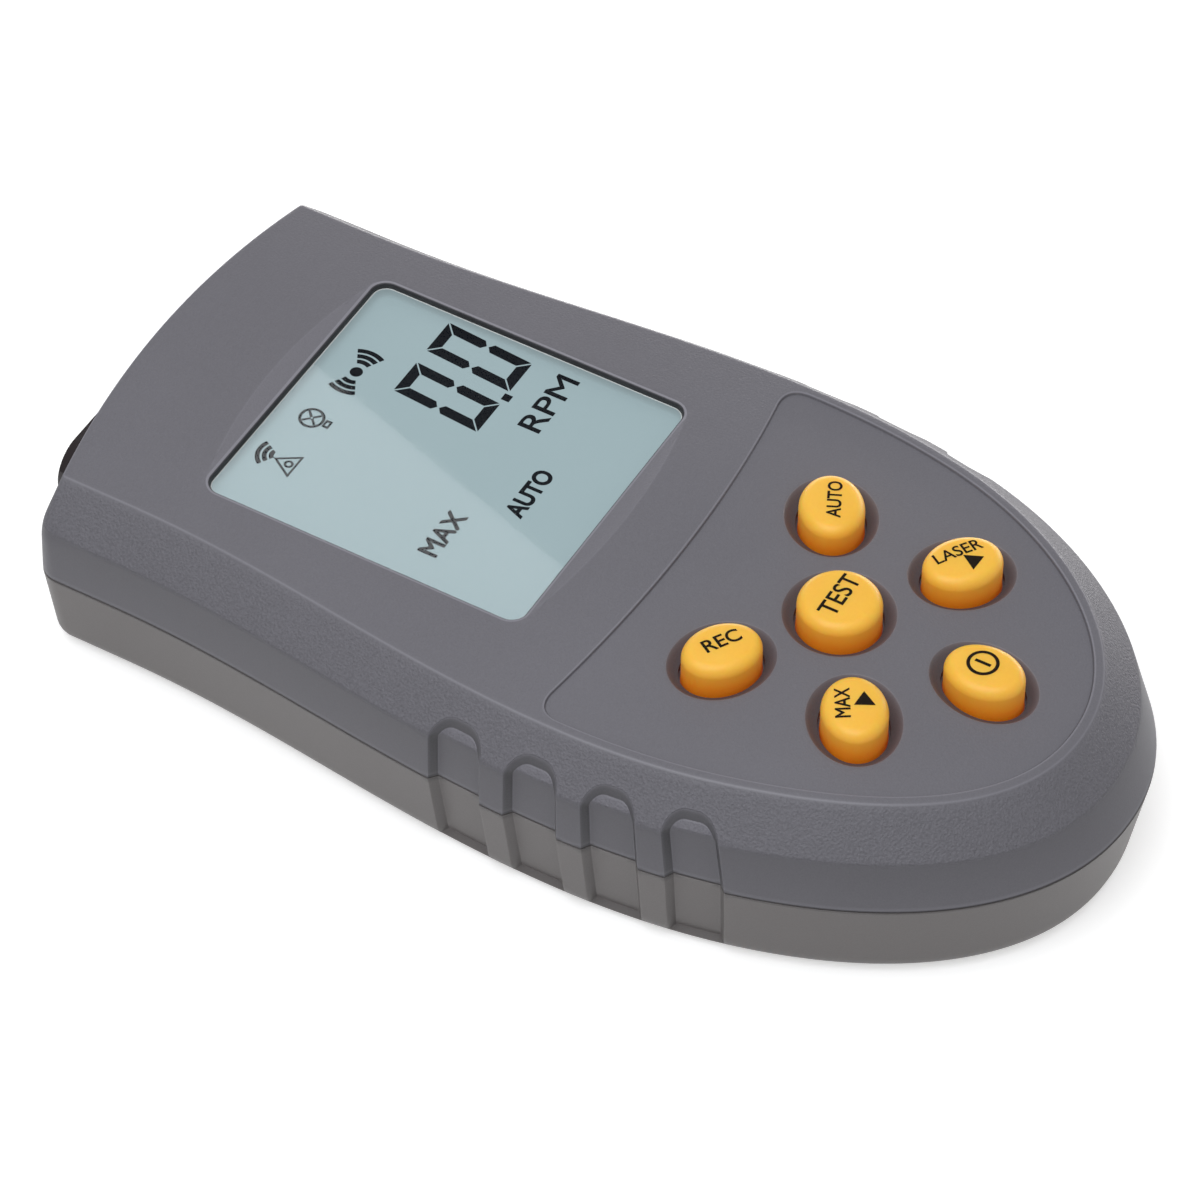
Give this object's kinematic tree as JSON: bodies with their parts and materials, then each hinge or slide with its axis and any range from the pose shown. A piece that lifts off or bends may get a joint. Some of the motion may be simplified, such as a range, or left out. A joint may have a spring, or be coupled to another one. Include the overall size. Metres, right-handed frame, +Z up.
{
  "type": "laser tachometer",
  "caption": "Hand-held laser tachometer with a grey moulded case, crowned face, square digital display, orange keys, grip hollows and a smoked filter plate at the measuring end.",
  "frame": {"origin": "Middle of the resting plane under the case; half-way along the length at the parting line", "axes": "+Y to the measuring end with the filter plate, +X to the right of a reader of the display, +Z up out of the display face"},
  "size_m": [0.0716, 0.1323, 0.0298],
  "materials": {
    "case_plastic": "fine moulded grain on the face, coarser eroded grain on the bevel, smooth lower walls",
    "key_plastic": "smooth soft-touch orange with printed legends",
    "clear_lens": "clear acrylic, polished",
    "display_glass": "grey-green reflective display glass",
    "smoked_filter": "dark smoked filter, polished",
    "black_plastic": "moulded black",
    "black_rubber": "conductive rubber strip",
    "silicone": "translucent grey silicone",
    "board": "solder-masked laminate",
    "brass": "turned",
    "bright_steel": "zinc plated",
    "battery_can": "wrapped metal can",
    "lead_skin": "flexible vinyl sleeve",
    "ceramic": "fired ceramic"
  },
  "bodies": {
    "case": {"upper_case": "case_plastic", "lower_case": "case_plastic", "display_window": "clear_lens", "lcd_panel": "display_glass", "lcd_frame": "black_plastic", "zebra_strips": "black_rubber", "main_board": "board", "keypad_mat": "silicone", "front_window": "smoked_filter", "optics_holder": "black_plastic", "laser_module": "brass", "laser_lens": "clear_lens", "laser_leads": "lead_skin", "receiver_lens": "clear_lens", "photodiode": "black_plastic", "battery": "battery_can", "battery_snap": "black_plastic", "lead_red": "lead_skin", "lead_black": "lead_skin", "driver_chip": "black_plastic", "crystal": "bright_steel", "small_parts": "ceramic", "case_screws": "bright_steel", "board_screws": "bright_steel"},
    "key_test": {"key_test": "key_plastic"},
    "key_rec": {"key_rec": "key_plastic"},
    "key_auto": {"key_auto": "key_plastic"},
    "key_max": {"key_max": "key_plastic"},
    "key_laser": {"key_laser": "key_plastic"},
    "key_power": {"key_power": "key_plastic"},
    "battery_door": {"battery_door": "case_plastic"}
  },
  "joints": [
    {"name": "key_test_press", "type": "slide", "parent": "case", "child": "key_test", "axis": [0, 0, -1], "range_m": [0, 0.0008], "stiffness_N_per_m": 1000, "springref_m": -0.0004, "deforming": ["keypad_mat"]},
    {"name": "key_rec_press", "type": "slide", "parent": "case", "child": "key_rec", "axis": [0, 0, -1], "range_m": [0, 0.0008], "stiffness_N_per_m": 1000, "springref_m": -0.0004, "deforming": ["keypad_mat"]},
    {"name": "key_auto_press", "type": "slide", "parent": "case", "child": "key_auto", "axis": [0, 0, -1], "range_m": [0, 0.0008], "stiffness_N_per_m": 1000, "springref_m": -0.0004, "deforming": ["keypad_mat"]},
    {"name": "key_max_press", "type": "slide", "parent": "case", "child": "key_max", "axis": [0, 0, -1], "range_m": [0, 0.0008], "stiffness_N_per_m": 1000, "springref_m": -0.0004, "deforming": ["keypad_mat"]},
    {"name": "key_laser_press", "type": "slide", "parent": "case", "child": "key_laser", "axis": [0, 0, -1], "range_m": [0, 0.0008], "stiffness_N_per_m": 1000, "springref_m": -0.0004, "deforming": ["keypad_mat"]},
    {"name": "key_power_press", "type": "slide", "parent": "case", "child": "key_power", "axis": [0, 0, -1], "range_m": [0, 0.0008], "stiffness_N_per_m": 1000, "springref_m": -0.0004, "deforming": ["keypad_mat"]},
    {"name": "battery_door_hinge", "type": "hinge", "parent": "case", "child": "battery_door", "pos_m": [0, 0, 0.0002], "axis": [1, 0, 0], "range_deg": [0, 35]}
  ]
}
